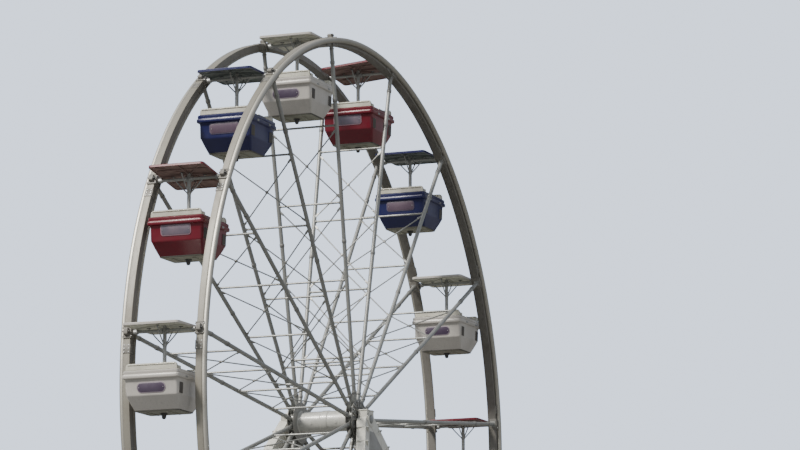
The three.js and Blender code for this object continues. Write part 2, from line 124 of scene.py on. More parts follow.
# Each finish: clean colour or its setting, dirt, roughness, and what else finish_material is told.
FINISHES = {
    "wheel_enamel": (
        "wheel_paint", (0.17, 0.155, 0.12), 0.36, dict(coat=0.25, patches=0.3, streaks=0.42, chips=0.7),
    ),
    "spoke_paint": (
        "spoke_colour", (0.14, 0.125, 0.1), 0.4, dict(metallic=0.3, patches=0.3, streaks=0.42, chips=0.6),
    ),
    "rim_paint": (
        "rim_colour", (0.11, 0.09, 0.06), 0.58, dict(metallic=0.05, patches=0.45, streaks=0.5, chips=0.6),
    ),
    # The rim paint darkened for the faces towards the hub: painted shade.
    "rim_painted_shade": (
        (0.1638, 0.156, 0.1404), (0.075, 0.065, 0.05), 0.55, dict(patches=0.6, streaks=0.5, chips=0.6),
    ),
    # The rim paint lightened for the outer faces: painted sunlight.
    "rim_outer_painted_light": (
        (0.27, 0.255, 0.215), (0.15, 0.125, 0.09), 0.5, dict(metallic=0.1, patches=0.4, chips=0.4),
    ),
    "edge_tube_metal": (
        "edge_tube_colour", (0.25, 0.23, 0.19), 0.5,
        dict(metallic=0.85, patches=0.25, chips=0.15, ripple=0.2, bump=0.15),
    ),
    "tower_enamel": ("tower_paint", (0.17, 0.15, 0.12), 0.4, dict(coat=0.2, streaks=0.5, chips=0.8)),
    "ground_enamel": (
        "ground_paint", (0.16, 0.12, 0.08), 0.5,
        dict(patches=0.75, streaks=0.3, chips=1.0, chip_colour=(0.18, 0.07, 0.03)),
    ),
    "liner_gelcoat": (
        "liner_colour", (0.2, 0.17, 0.11), 0.42,
        dict(coat=0.15, patches=0.45, streaks=0.3, chips=0.3, ripple=0.6, peel=0.5, bump=0.35),
    ),
    # Dark panels on the tub sides that paint the shade inside their slots.
    "slot_painted_shade": ((0.085, 0.078, 0.07), (0.14, 0.125, 0.1), 0.7, dict(patches=0.6, peel=0.8)),
    "under_sealer": (
        (0.3, 0.3, 0.24), (0.11, 0.1, 0.075), 0.62,
        dict(patches=0.8, streaks=0.35, ripple=0.5, peel=1.0, bump=0.6),
    ),
    "pan_trim": ((0.07, 0.068, 0.06), (0.1, 0.09, 0.06), 0.5, dict(patches=0.6)),
    "zinc_steel": (
        (0.42, 0.43, 0.43), (0.16, 0.14, 0.12), 0.38,
        dict(metallic=0.85, patches=0.6, streaks=0.3, ripple=0.2, peel=0.6),
    ),
    "dark_steel": (
        (0.075, 0.077, 0.08), (0.14, 0.11, 0.08), 0.48,
        dict(metallic=0.35, patches=0.5, streaks=0.3, chips=0.5, chip_colour=(0.3, 0.29, 0.28)),
    ),
    "sleeve_steel": ((0.27, 0.27, 0.26), (0.12, 0.1, 0.08), 0.5, dict(metallic=0.3, patches=0.5)),
    "post_steel": (
        "post_colour", (0.13, 0.12, 0.1), 0.4, dict(metallic=0.2, patches=0.45, streaks=0.4, chips=0.4),
    ),
    "brace_steel": (
        (0.4, 0.41, 0.41), (0.13, 0.12, 0.1), 0.4, dict(metallic=0.3, patches=0.4, streaks=0.3, chips=0.4),
    ),
    # Steel of the hub's clamp rings and ribs; on the tower gussets the same dark grey is painted shade.
    "flange_steel_and_gusset_shade": (
        (0.34, 0.335, 0.315), (0.15, 0.14, 0.125), 0.46,
        dict(metallic=0.25, patches=0.4, streaks=0.4, chips=0.4),
    ),
    "tread_rubber": ((0.06, 0.06, 0.058), (0.16, 0.14, 0.11), 0.75, dict(patches=0.8, peel=1.0, bump=0.7)),
}


def colour_property(name, description, default):
    return bpy.props.FloatVectorProperty(
        name=name, description=description, default=default, subtype="COLOR", size=3, min=0, max=1
    )


def strength_property(name, description, default, top):
    return bpy.props.FloatProperty(
        name=name, description=description, default=default, min=0, soft_max=top
    )


def round_off(shape, parts, offset, segments=2, affect="EDGES"):
    """Round some edges, or the corners of a flat outline."""
    bmesh.ops.bevel(
        shape, geom=parts, offset=offset, segments=segments, profile=0.5, affect=affect, material=-1
    )


def rounded_box(size, bevel=0.0, segments=2):
    """A box about the origin with its edges rounded."""
    shape = bmesh.new()
    bmesh.ops.create_cube(shape, size=1)
    bmesh.ops.scale(shape, vec=size, verts=shape.verts[:])
    if bevel:
        round_off(shape, shape.edges[:], bevel, segments)
    return shape


def cylinder(radius, length, sides=20, bevel=0.0):
    """A round bar about the origin, along Z."""
    shape = bmesh.new()
    bmesh.ops.create_cone(
        shape, cap_ends=True, segments=sides, radius1=radius, radius2=radius, depth=length
    )
    if bevel:
        caps = [edge for edge in shape.edges if abs(edge.verts[0].co.z - edge.verts[1].co.z) < 1e-6]
        round_off(shape, caps, bevel)
    return shape


def lofted(levels, corner, corner_segments=4):
    """A closed moulding through rounded rectangles, each given as (z, half x, half y)."""
    shape = bmesh.new()
    z, half_x, half_y = levels[0]
    bmesh.ops.create_grid(shape, x_segments=1, y_segments=1, size=1)
    bmesh.ops.scale(shape, vec=(half_x, half_y, 1), verts=shape.verts[:])
    bmesh.ops.translate(shape, vec=(0, 0, z), verts=shape.verts[:])
    round_off(shape, shape.verts[:], corner, corner_segments, "VERTICES")
    face = shape.faces[:][0]
    for next_z, next_x, next_y in levels[1:]:
        made = bmesh.ops.extrude_face_region(shape, geom=[face, *face.edges])["geom"]
        corners = [item for item in made if isinstance(item, bmesh.types.BMVert)]
        face = next(item for item in made if isinstance(item, bmesh.types.BMFace))
        bmesh.ops.translate(shape, vec=(0, 0, next_z - z), verts=corners)
        bmesh.ops.scale(shape, vec=(next_x / half_x, next_y / half_y, 1), verts=corners)
        z, half_x, half_y = next_z, next_x, next_y
    bmesh.ops.recalc_face_normals(shape, faces=shape.faces[:])
    return shape


def panel(width, height, thickness, corner, bevel=0.0, corner_segments=5):
    """A flat plate in the plane of X and Y with rounded corners, from z = 0 up."""
    half = (width / 2, height / 2)
    shape = lofted([(0, *half), (thickness, *half)], corner, corner_segments)
    if bevel:
        upper = [e for e in shape.edges if min(v.co.z for v in e.verts) > thickness - 1e-6]
        round_off(shape, upper, bevel)
    return shape


def turned(profile, steps, corner=0.0):
    """A shape turned about Z from points (radius, z). One that starts off the axis is closed into a ring."""
    shape = bmesh.new()
    points = [shape.verts.new((radius, 0, z)) for radius, z in profile]
    for first, second in zip(points, points[1:]):
        shape.edges.new((first, second))
    if profile[0][0] > 0:
        outline = shape.faces.new(points)
        if corner:
            round_off(shape, shape.verts[:], corner, 3, "VERTICES")
            outline = shape.faces[:][0]
        bmesh.ops.delete(shape, geom=[outline], context="FACES_ONLY")
    bmesh.ops.spin(
        shape, geom=shape.verts[:] + shape.edges[:], cent=(0, 0, 0), axis=(0, 0, 1),
        dvec=(0, 0, 0), angle=math.tau, steps=steps, use_merge=True,
    )
    bmesh.ops.remove_doubles(shape, verts=shape.verts[:], dist=1e-5)
    bmesh.ops.recalc_face_normals(shape, faces=shape.faces[:])
    return shape


def mirrored(profile):
    """A profile's points up to its middle, followed by their mirror image."""
    return profile + [(radius, -z) for radius, z in reversed(profile)]


def along(direction, forward="Z", up="Y"):
    """The turn that lays a shape's forward axis along a direction."""
    return direction.to_track_quat(forward, up).to_matrix().to_4x4()


def swept(points, radius, sides):
    """A round bar through points, with flat ends."""
    shape = bmesh.new()
    previous = None
    for index, point in enumerate(points):
        ahead = points[min(index + 1, len(points) - 1)]
        behind = points[max(index - 1, 0)]
        ring = bmesh.ops.create_circle(
            shape, cap_ends=index in (0, len(points) - 1), segments=sides, radius=radius,
            matrix=at(*point) @ along(ahead - behind),
        )["verts"]
        edges = list({edge for vert in ring for edge in vert.link_edges})
        if previous:
            bmesh.ops.bridge_loops(shape, edges=previous + edges)
        previous = edges
    bmesh.ops.recalc_face_normals(shape, faces=shape.faces[:])
    return shape


def add(target, shape, matrix=Matrix.Identity(4), slot=0):
    """Move a finished shape into another one, its faces in one material slot."""
    bmesh.ops.transform(shape, matrix=matrix, verts=shape.verts[:])
    for face in shape.faces:
        face.material_index = slot
    holder = bpy.data.meshes.new("holder")
    shape.to_mesh(holder)
    shape.free()
    target.from_mesh(holder)
    bpy.data.meshes.remove(holder)


def at(x, y, z):
    return Matrix.Translation((x, y, z))


def about(axis, degrees):
    return Matrix.Rotation(math.radians(degrees), 4, axis)


def between(start, end):
    """The matrix that lays a shape made along Z from start to end, its middle at the origin."""
    return Matrix.Translation((start + end) / 2) @ along(end - start)


def box(target, size, bevel, matrix, slot=0):
    add(target, rounded_box(size, bevel), matrix, slot)


def member(target, start, end, size, bevel):
    """A rounded box section from start to end."""
    box(target, (*size, (end - start).length), bevel, between(start, end))


def rod(target, start, end, radius, sides):
    add(target, cylinder(radius, (end - start).length, sides), between(start, end))


def bolt(target, place, radius, slot):
    """A hexagon head on its washer, standing on the plane z = 0 of a matrix."""
    add(target, cylinder(radius * 1.35, radius * 0.3, 12), place @ at(0, 0, radius * 0.15), slot)
    head = cylinder(radius, radius * 0.9, 6, bevel=radius * 0.12)
    add(target, head, place @ at(0, 0, radius * 0.7), slot)


def bolt_rows(target, place, radius, slot, reach_x, reach_y=(0,)):
    """Bolts on the plane z = 0 of a matrix, at each pair of an x and a y."""
    for x in reach_x:
        for y in reach_y:
            bolt(target, place @ at(x, y, 0), radius, slot)


def bolt_circle(target, place, radius, slot, reach, count, start=0.0):
    """Bolts evenly round the Z axis of a matrix."""
    for number in range(count):
        turn = about("Z", start + 360 * number / count)
        bolt(target, place @ turn @ at(reach, 0, 0), radius, slot)


def mesh_of(shape, materials=(), sharp_degrees=38):
    mesh = bpy.data.meshes.new("mesh")
    shape.to_mesh(mesh)
    shape.free()
    for material in materials:
        mesh.materials.append(material)
    mesh.shade_smooth()
    mesh.set_sharp_from_angle(angle=math.radians(sharp_degrees))
    return mesh


def put(name, data):
    """Put data in the scene as an object."""
    made = bpy.data.objects.new(name, data)
    bpy.context.scene.collection.objects.link(made)
    return made


def show(mesh, name, body, replaces=()):
    """Put a mesh in the scene as a piece that rides on a body."""
    mesh.name = name
    piece = put(name, mesh)
    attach(piece, body)
    if replaces:
        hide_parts(*replaces)
    return piece


def copy_to(mesh, matrix, materials=()):
    moved = mesh.copy()
    moved.transform(matrix)
    for material in materials:
        moved.materials.append(material)
    return moved


def discard(*meshes):
    for mesh in meshes:
        bpy.data.meshes.remove(mesh)


def set_inputs(tree, made, values):
    """Link each input of a node to a socket, or set it to a value. A colour is given by three channels."""
    for label, value in values.items():
        target = made.inputs[label]
        if isinstance(value, bpy.types.NodeSocket):
            tree.links.new(value, target)
        else:
            target.default_value = (*value, 1) if target.type == "RGBA" else value


def node(tree, kind, values, **options):
    """A new node with its options and inputs, given by its outputs."""
    made = tree.nodes.new("ShaderNode" + kind)
    for option, value in options.items():
        setattr(made, option, value)
    set_inputs(tree, made, values)
    return made.outputs


def noise(tree, vector, scale, detail=3.0, roughness=0.55):
    values = {"Vector": vector, "Scale": scale, "Detail": detail, "Roughness": roughness}
    return node(tree, "TexNoise", values)["Fac"]


def stretched(tree, vector, scale):
    return node(tree, "Mapping", {"Vector": vector, "Scale": scale})["Vector"]


def ramp(tree, value, low, high, top=1.0):
    """A value spread from 0 at low to top at high."""
    values = {"Value": value, "From Min": low, "From Max": high, "To Max": top}
    return node(tree, "MapRange", values, interpolation_type="SMOOTHSTEP")["Result"]


def combined(tree, operation, first, second):
    return node(tree, "Math", {0: first, 1: second}, operation=operation)["Value"]


def mix_colour(tree, factor, first, second, blend="MIX"):
    values = {0: factor, 6: first, 7: second}
    return node(tree, "Mix", values, data_type="RGBA", blend_type=blend)[2]


def new_group(name, inputs, outputs):
    """A new node group, its sockets given by their kinds: the tree, what goes in, and its end node."""
    tree = bpy.data.node_groups.new(name, "ShaderNodeTree")
    for in_out, sockets in (("INPUT", inputs), ("OUTPUT", outputs)):
        for label, kind in sockets.items():
            tree.interface.new_socket(label, in_out=in_out, socket_type="NodeSocket" + kind)
    return tree, tree.nodes.new("NodeGroupInput").outputs, tree.nodes.new("NodeGroupOutput")


def weathering():
    """Soft patches, rain streaks and fine mottling over a clean colour."""
    kinds = {"Vector": "Vector", "Clean": "Color", "Dirt": "Color", "Patches": "Float", "Streaks": "Float"}
    tree, given, end = new_group("weathering", kinds, {"Colour": "Color", "Mask": "Float"})
    vector = given["Vector"]
    patches = ramp(tree, noise(tree, vector, 1.7, 6, 0.62), 0.44, 0.78)
    rain = stretched(tree, vector, (9, 9, 0.7))
    streaks = ramp(tree, noise(tree, rain, 2.2, 4, 0.6), 0.5, 0.78)
    soiled = combined(tree, "MULTIPLY", patches, given["Patches"])
    run_down = combined(tree, "MULTIPLY", streaks, given["Streaks"])
    mask = combined(tree, "MAXIMUM", soiled, run_down)
    dirty = mix_colour(tree, mask, given["Clean"], given["Dirt"])
    mottle = ramp(tree, noise(tree, vector, 38, 4, 0.6), 0.3, 0.7, 0.12)
    mottled = mix_colour(tree, mottle, dirty, (0.25, 0.24, 0.22), "MULTIPLY")
    set_inputs(tree, end, {"Colour": mottled, "Mask": mask})
    return tree


def surface_grain():
    """The height of sprayed paint or moulded gelcoat: a long ripple and a fine peel."""
    kinds = {"Vector": "Vector", "Ripple": "Float", "Peel": "Float"}
    tree, given, end = new_group("surface_grain", kinds, {"Height": "Float"})
    vector = given["Vector"]
    ripple = combined(tree, "MULTIPLY", noise(tree, vector, 4.5, 2), given["Ripple"])
    peel = combined(tree, "MULTIPLY", noise(tree, vector, 230, 2), given["Peel"])
    set_inputs(tree, end, {"Height": combined(tree, "ADD", ripple, peel)})
    return tree


def chipping():
    """Small chips and scratches that gather in worn patches."""
    kinds = {"Vector": "Vector", "Amount": "Float"}
    tree, given, end = new_group("chipping", kinds, {"Mask": "Float"})
    vector = given["Vector"]
    chips = ramp(tree, noise(tree, vector, 46, 5, 0.7), 0.64, 0.69)
    scratched = stretched(tree, vector, (60, 8, 14))
    scratches = ramp(tree, noise(tree, scratched, 2.4, 3, 0.5), 0.69, 0.73)
    worn = ramp(tree, noise(tree, vector, 2.6), 0.5, 0.68)
    marks = combined(tree, "MAXIMUM", chips, scratches)
    patchy = combined(tree, "MULTIPLY", marks, worn)
    set_inputs(tree, end, {"Mask": combined(tree, "MULTIPLY", patchy, given["Amount"])})
    return tree


def shared_group(tree, build, values):
    """A node of the group that a function builds on its first use, given by its outputs."""
    group = bpy.data.node_groups.get(build.__name__) or build()
    return node(tree, "Group", values, node_tree=group)


def finish_material(
    name, colour, dirt, roughness, metallic=0.0, coat=0.0, patches=0.35, streaks=0.25, chips=0.0,
    chip_colour=(0.09, 0.06, 0.045), ripple=0.4, peel=0.25, bump=0.25,
):
    """A weathered finish: its clean colour soiled, chipped and grained on Object coordinates."""
    if name in bpy.data.materials:
        return bpy.data.materials[name]
    material = bpy.data.materials.new(name)
    material.use_nodes = True
    tree = material.node_tree
    vector = node(tree, "TexCoord", {})["Object"]
    soiling = {"Clean": colour, "Dirt": dirt, "Patches": patches, "Streaks": streaks}
    aged = shared_group(tree, weathering, {"Vector": vector, **soiling})
    base = aged["Colour"]
    worn = combined(tree, "MULTIPLY", aged["Mask"], 0.28)
    if chips:
        chipped = shared_group(tree, chipping, {"Vector": vector, "Amount": chips})["Mask"]
        base = mix_colour(tree, chipped, base, chip_colour)
        worn = combined(tree, "ADD", worn, combined(tree, "MULTIPLY", chipped, 0.3))
    grain = shared_group(tree, surface_grain, {"Vector": vector, "Ripple": ripple, "Peel": peel})
    relief = {"Strength": bump, "Distance": 0.004, "Height": grain["Height"]}
    surface = {
        "Base Color": base,
        "Roughness": combined(tree, "ADD", worn, roughness),
        "Metallic": metallic,
        "Coat Weight": coat,
        "Coat Roughness": 0.12,
        "Normal": node(tree, "Bump", relief)["Normal"],
    }
    set_inputs(tree, tree.nodes["Principled BSDF"], surface)
    material.diffuse_color = (*colour, 1)
    return material


def settings():
    return bpy.context.scene.wheel_settings


def finishes(*names):
    """Finishes from the table."""
    found = []
    for name in names:
        colour, dirt, roughness, wear = FINISHES[name]
        if isinstance(colour, str):
            colour = getattr(settings(), colour)
        found.append(finish_material(name, colour, dirt, roughness, **wear))
    return found


def gelcoat(colour):
    clean = getattr(settings(), colour + "_gelcoat")
    dirt = tuple(0.6 * channel + 0.012 for channel in clean)
    return finish_material(
        colour + "_gelcoat", clean, dirt, 0.3, coat=0.15, patches=0.4, streaks=0.35,
        chips=0.35, chip_colour=tuple(0.3 * channel + 0.25 for channel in clean),
        ripple=0.9, peel=0.12, bump=0.3,
    )


def canopy_lining(colour):
    """The raw glass-fibre side of a canopy, tinted by the gelcoat behind it."""
    dirt = tuple(0.6 * channel for channel in LININGS[colour])
    return finish_material(
        colour + "_canopy_lining", LININGS[colour], dirt, 0.7, patches=0.7, streaks=0.2, ripple=0.8,
        peel=1.0, bump=0.5,
    )


def sign_finishes(colour):
    """A bare sign plate's face, faded unevenly by the weather, and its border."""
    face, fade, border = SIGNS[colour][3:]
    return [
        finish_material(colour + "_sign_face", face, fade, 0.3, coat=0.3, patches=0.8, streaks=0.5),
        finish_material(colour + "_sign_border", border, (0.15, 0.12, 0.12), 0.4),
    ]


def rim_fittings(side):
    """What is bolted on a rim at a tub, made at angle 0: lug, ears, pin, bearing and splice."""
    shape = bmesh.new()
    place = at(side * RIM_X, WHEEL_RADIUS, 0)
    box(shape, (0.184, 0.2, 0.25), 0.014, place @ at(0, -0.014, 0))
    for z in (-0.118, 0.118):
        box(shape, (0.194, 0.208, 0.022), 0.006, place @ at(0, -0.01, z))
    for x in (-0.045, -0.005):
        add(shape, panel(0.15, 0.15, 0.05, 0.035, 0.008), place @ at(x, 0.09, 0) @ about("Y", 90))
    add(shape, cylinder(0.02, 0.16, 12, bevel=0.004), place @ at(0, 0.125, 0) @ about("Y", 90), 1)
    boss = turned(
        [(0, 0.113), (0.05, 0.113), (0.065, 0.1), (0.065, 0.07), (0.09, 0.06), (0.09, 0.03), (0, 0.03)], 24
    )
    add(shape, boss, place @ about("Y", -90 * side))
    cap = turned(
        [(0, 0.124), (0.04, 0.122), (0.058, 0.112), (0.062, 0.096), (0.076, 0.09), (0.076, 0.05), (0, 0.05)],
        24,
    )
    add(shape, cap, place @ about("Y", 90 * side))
    for facing in (-1, 1):
        face = place @ at(facing * 0.092, 0, 0) @ about("Y", 90 * facing)
        bolt_rows(shape, face, 0.013, 2, (-0.09, 0.09), (-0.075, 0.075))
    splice = about("X", SPLICE_TURN) @ at(side * RIM_X, WHEEL_RADIUS - 0.014, 0)
    box(shape, (0.178, 0.184, 0.2), 0.01, splice)
    outer = splice @ at(0, 0.092, 0) @ about("X", -90)
    bolt_rows(shape, outer, 0.01, 2, (-0.05, 0.05), (-0.07, 0.0, 0.07))
    away = splice @ at(side * 0.089, 0, 0) @ about("Y", 90 * side)
    bolt_rows(shape, away, 0.01, 2, (-0.07, 0.0, 0.07), (-0.05, 0.05))
    return shape


def all_round(template):
    """Repeat a mesh made at angle 0 once for each tub, about the hub."""
    shape = bmesh.new()
    for angle in ANGLES.values():
        moved = copy_to(template, Matrix.Rotation(angle, 4, "X"))
        shape.from_mesh(moved)
        discard(moved)
    bmesh.ops.translate(shape, vec=HUB, verts=shape.verts[:])
    return shape


def rim_section(side):
    """One rim turned about Z: a box section with a flange towards the tubs, its faces in three paints: rim
    paint on the sides, painted shade on the faces towards the hub and painted sunlight on the outer faces.
    """
    inboard = -0.075 * side
    outboard = 0.068 * side
    lip = -0.13 * side
    profile = [
        (RIM_INNER, lip), (RIM_INNER + 0.022, lip), (RIM_INNER + 0.022, inboard),
        (RIM_OUTER, inboard), (RIM_OUTER, outboard), (RIM_INNER, outboard),
    ]
    shape = turned(profile, settings().rim_steps, 0.008)
    shape.normal_update()
    for face in shape.faces:
        middle = face.calc_center_median()
        outward = face.normal.dot(Vector((middle.x, middle.y, 0)).normalized())
        # Faces towards the hub get the painted shade, the outer faces the painted sunlight, the sides the rim
        # paint.
        face.material_index = 1 if outward < -0.5 else 2 if outward > 0.5 else 0
    return shape


def edge_tube(side):
    """The round tube along a rim's outer edge, turned about Z."""
    circle = []
    for step in range(16):
        turn = math.tau * step / 16
        reach = EDGE_TUBE_PLACE + EDGE_TUBE_RADIUS * math.cos(turn)
        circle.append((reach, side * EDGE_TUBE_X + EDGE_TUBE_RADIUS * math.sin(turn)))
    return turned(circle, settings().rim_steps)


class WHEEL_OT_rims(bpy.types.Operator):
    """Bend both rims with their edge tubes, and the lugs, ears, bearings, splices and bolts at each tub"""

    bl_idname = "wheel.rims"
    bl_label = "Rims"

    def execute(self, context):
        paints = finishes("rim_paint", "rim_painted_shade", "rim_outer_painted_light")
        for name, side in SIDES.items():
            place = at(side * RIM_X, 0, HUB.z) @ about("Y", 90)
            section = mesh_of(rim_section(side), paints)
            section.transform(place)
            show(section, "rim_section_" + name, "wheel", ["rim_" + name])
            tube = mesh_of(edge_tube(side), finishes("edge_tube_metal"))
            tube.transform(place)
            show(tube, "rim_edge_tube_" + name, "wheel")
            template = mesh_of(rim_fittings(side))
            fittings = mesh_of(all_round(template), finishes("rim_paint", "dark_steel", "zinc_steel"))
            show(fittings, "rim_fittings_" + name, "wheel")
            discard(template)
        return {"FINISHED"}


class WHEEL_OT_hub(bpy.types.Operator):
    """Turn the hub's drum, flanges, clamp rings, shaft ends and their bolts"""

    bl_idname = "wheel.hub"
    bl_label = "Hub"

    def execute(self, context):
        shape = bmesh.new()
        centre = at(*HUB) @ about("Y", 90)
        half_drum = [
            (0.2, -0.64), (0.262, -0.64), (0.262, -0.61), (0.24, -0.595), (0.235, -0.57), (0.235, -0.09),
            (0.247, -0.07),
        ]
        add(shape, turned(mirrored(half_drum), 64), centre)
        for port in (-0.3, 0.3):
            for turn in (40, 160, 280):
                cover = centre @ about("Z", turn) @ at(0.228, 0, port) @ about("Y", 90)
                add(shape, cylinder(0.045, 0.02, 20, bevel=0.004), cover)
        for side in SIDES.values():
            flange = cylinder(FLANGE_APOTHEM / math.cos(math.pi / 15), 0.12, 15, bevel=0.004)
            add(shape, flange, centre @ at(0, 0, side * FLANGE_X) @ about("Z", FLANGE_TURN))
            away = centre @ at(0, 0, side * FLANGE_X) @ about("Y", 0 if side > 0 else 180)
            for bore, half_turn in ((0.12, 0), (0.22, 180)):
                clamp = turned([(bore, 0), (0.452, 0), (0.46, 0.006), (0.46, 0.016), (bore, 0.022)], 60)
                add(shape, clamp, away @ about("Y", half_turn) @ at(0, 0, FLANGE_FACE), 2)
            collar = turned([(0.088, 0.078), (0.15, 0.078), (0.15, 0.115), (0.14, 0.125), (0.088, 0.125)], 40)
            add(shape, collar, away, 3)
            for reach in (0.4, 0.3):
                bolt_circle(shape, away @ at(0, 0, 0.08), 0.017, 3, reach, 15)
            bolt_circle(shape, away @ at(0, 0, 0.08), 0.012, 3, 0.43, 15, 12)
            for number in range(15):
                rib = away @ about("Z", 24 * number + 12) @ at(0.27, 0, 0.09)
                box(shape, (0.3, 0.014, 0.04), 0.003, rib, 2)
            end = [(0, 0.39), (0.05, 0.39), (0.088, 0.375), (0.0895, 0.36), (0.0895, 0.06), (0, 0.06)]
            add(shape, turned(end, 40), away, 3)
        hub = mesh_of(shape, finishes("wheel_enamel", "dark_steel", "flange_steel_and_gusset_shade", "zinc_steel"), 30)
        show(hub, "hub_assembly", "wheel", ["hub"])
        return {"FINISHED"}


def spoke_x(radius):
    return FLANGE_X + (RIM_X - FLANGE_X) * (radius - SPOKE_START) / (SPOKE_END - SPOKE_START)


def ladder_tubes():
    """The painted tubes of one spoke frame, running out along Y: two spokes, rungs and end plates."""
    shape = bmesh.new()
    for side in SIDES.values():
        start = Vector((side * FLANGE_X, SPOKE_START, 0))
        end = Vector((side * RIM_X, SPOKE_END, 0))
        rod(shape, start, end, SPOKE_RADIUS, 20)
        box(shape, (0.115, 0.016, 0.125), 0.004, at(side * FLANGE_X, SPOKE_START + 0.009, 0))
        box(shape, (0.125, 0.016, 0.13), 0.004, at(side * RIM_X, SPOKE_END - 0.01, 0))
    for radius in RUNG_RADII:
        reach = spoke_x(radius) - 0.03
        rod(shape, Vector((-reach, radius, 0)), Vector((reach, radius, 0)), RUNG_RADIUS, 16)
        for side in SIDES.values():
            collar = turned([(0.022, 0), (0.034, 0), (0.034, 0.01), (0.027, 0.024), (0.022, 0.024)], 16)
            add(shape, collar, at(side * (spoke_x(radius) - 0.042), radius, 0) @ about("Y", -90 * side))
    return shape


def ladder_braces():
    """The crossed rods of one spoke frame with their lugs and bolts, and the sleeves along its spokes."""
    shape = bmesh.new()
    for side in SIDES.values():
        for radius, length in SLEEVES:
            half_sleeve = [(0.045, -length / 2), (0.052, -length / 2), (0.055, 0.004 - length / 2)]
            place = at(side * spoke_x(radius), radius, 0) @ about("X", -90)
            add(shape, turned(mirrored(half_sleeve), 20), place, 1)
    for outer, inner in zip(RUNG_RADII, RUNG_RADII[1:]):
        low = inner + BRACE_SETBACK
        high = outer - BRACE_SETBACK
        for side in SIDES.values():
            start = Vector((-side * (spoke_x(low) - 0.03), low, 0.009 * side))
            end = Vector((side * (spoke_x(high) - 0.03), high, 0.009 * side))
            rod(shape, start, end, BRACE_RADIUS, 12)
            for tip, other in ((start, end), (end, start)):
                place = at(*tip) @ along((other - tip).normalized(), "Y", "Z")
                add(shape, panel(0.05, 0.13, 0.01, 0.02, 0.002), place @ at(0, 0.05, 0.01))
                bolt_rows(shape, place @ at(0, 0, 0.02), 0.008, 2, (0,), (0.02, 0.09))
        crossing = (low + high) / 2
        add(shape, cylinder(0.034, 0.042, 20, bevel=0.005), at(0, crossing, 0), 1)
        bolt(shape, at(0, crossing, 0.021), 0.011, 2)
    return shape


class WHEEL_OT_spokes(bpy.types.Operator):
    """Weld the fifteen ladder-like spoke frames with their crossed braces"""

    bl_idname = "wheel.spokes"
    bl_label = "Spoke frames"

    def execute(self, context):
        tubes = mesh_of(ladder_tubes(), finishes("spoke_paint"))
        braces = mesh_of(ladder_braces(), finishes("spoke_paint", "sleeve_steel", "zinc_steel"))
        for number, angle in ANGLES.items():
            place = at(*HUB) @ Matrix.Rotation(angle, 4, "X")
            spokes = copy_to(tubes, place)
            show(spokes, "ladder_tubes_" + number, "wheel", ["spoke_frame_" + number])
            show(copy_to(braces, place), "ladder_braces_" + number, "wheel")
        discard(tubes, braces)
        return {"FINISHED"}


def tub_shell():
    """The outside of a tub: undercut base, panels, a lip in two steps and the skin behind the liner."""
    return lofted(
        [
            (-1.66, 0.496, 0.362), (-1.645, 0.505, 0.374), (-1.56, 0.534, 0.446), (-1.48, 0.56, 0.512),
            (-1.41, 0.577, 0.57), (-1.397, 0.581, 0.581), (-1.385, 0.584, 0.589), (-1.36, 0.585, 0.592),
            (-1.2, 0.59, 0.614), (-1.085, 0.594, 0.632), (-1.062, 0.6, 0.64), (-1.056, 0.616, 0.668),
            (-1.046, 0.634, 0.692), (-1.034, 0.64, 0.698), (-0.986, 0.64, 0.698), (-0.974, 0.632, 0.692),
            (-0.962, 0.618, 0.682), (-0.954, 0.618, 0.682), (-0.946, 0.624, 0.686), (-0.905, 0.623, 0.684),
            (-0.893, 0.616, 0.676), (-0.887, 0.605, 0.664), (-0.888, 0.585, 0.645), (-0.93, 0.58, 0.635),
            (-1.2, 0.573, 0.598), (-1.39, 0.567, 0.573), (-1.61, 0.488, 0.378),
        ],
        0.045, 5,
    )


def seat_back():
    """A back of a bench, its upper corners and its crest rounded."""
    back = rounded_box((1.15, 0.062, 0.28))
    upright = [e for e in back.edges if abs(e.verts[0].co.y - e.verts[1].co.y) > 0.01 and e.verts[0].co.z > 0]
    round_off(back, upright, 0.075, 6)
    crest = [e for e in back.edges if abs(e.verts[0].co.y - e.verts[1].co.y) < 1e-6]
    round_off(back, [e for e in crest if min(v.co.z for v in e.verts) > -0.13], 0.02, 3)
    return back


def tub_liner():
    """The pale inner moulding: a bowl with two benches, their high backs and a ribbed floor."""
    shape = lofted(
        [
            (-1.605, 0.472, 0.36), (-1.4, 0.548, 0.556), (-1.2, 0.56, 0.588), (-0.945, 0.571, 0.618),
            (-0.884, 0.575, 0.628), (-0.876, 0.59, 0.642), (-0.87, 0.59, 0.642), (-0.866, 0.58, 0.632),
            (-0.88, 0.55, 0.6), (-1.2, 0.535, 0.566), (-1.39, 0.52, 0.53), (-1.592, 0.448, 0.33),
        ],
        0.045, 5,
    )
    for end in (-1, 1):
        upright = at(0, end * 0.59, -0.881) @ about("X", -5 * end)
        add(shape, seat_back(), upright)
        bead = [Vector((-0.52, 0, 0)), Vector((0.52, 0, 0))]
        add(shape, swept(bead, 0.016, 12), upright @ at(0, end * 0.03, 0.115))
        for part in (-1, 0, 1):
            pad = panel(0.3, 0.24, 0.014, 0.05, 0.01)
            add(shape, pad, at(part * 0.335, end * 0.557, -0.95) @ about("X", 85 * end))
        for side in SIDES.values():
            wing = rounded_box((0.05, 0.2, 0.2), 0.022, 3)
            add(shape, wing, at(side * 0.55, end * 0.515, -0.9))
        add(shape, rounded_box((1.0, 0.35, 0.27), 0.04, 4), at(0, end * 0.375, -1.265))
        box(shape, (0.88, 0.13, 0.24), 0.012, at(0, end * 0.268, -1.485))
    for side in SIDES.values():
        box(shape, (0.045, 0.36, 0.02), 0.006, at(side * 0.57, 0, -0.864), 1)
    for rib in range(9):
        box(shape, (0.84, 0.02, 0.012), 0.004, at(0, -0.16 + 0.04 * rib, -1.588), 2)
    return shape


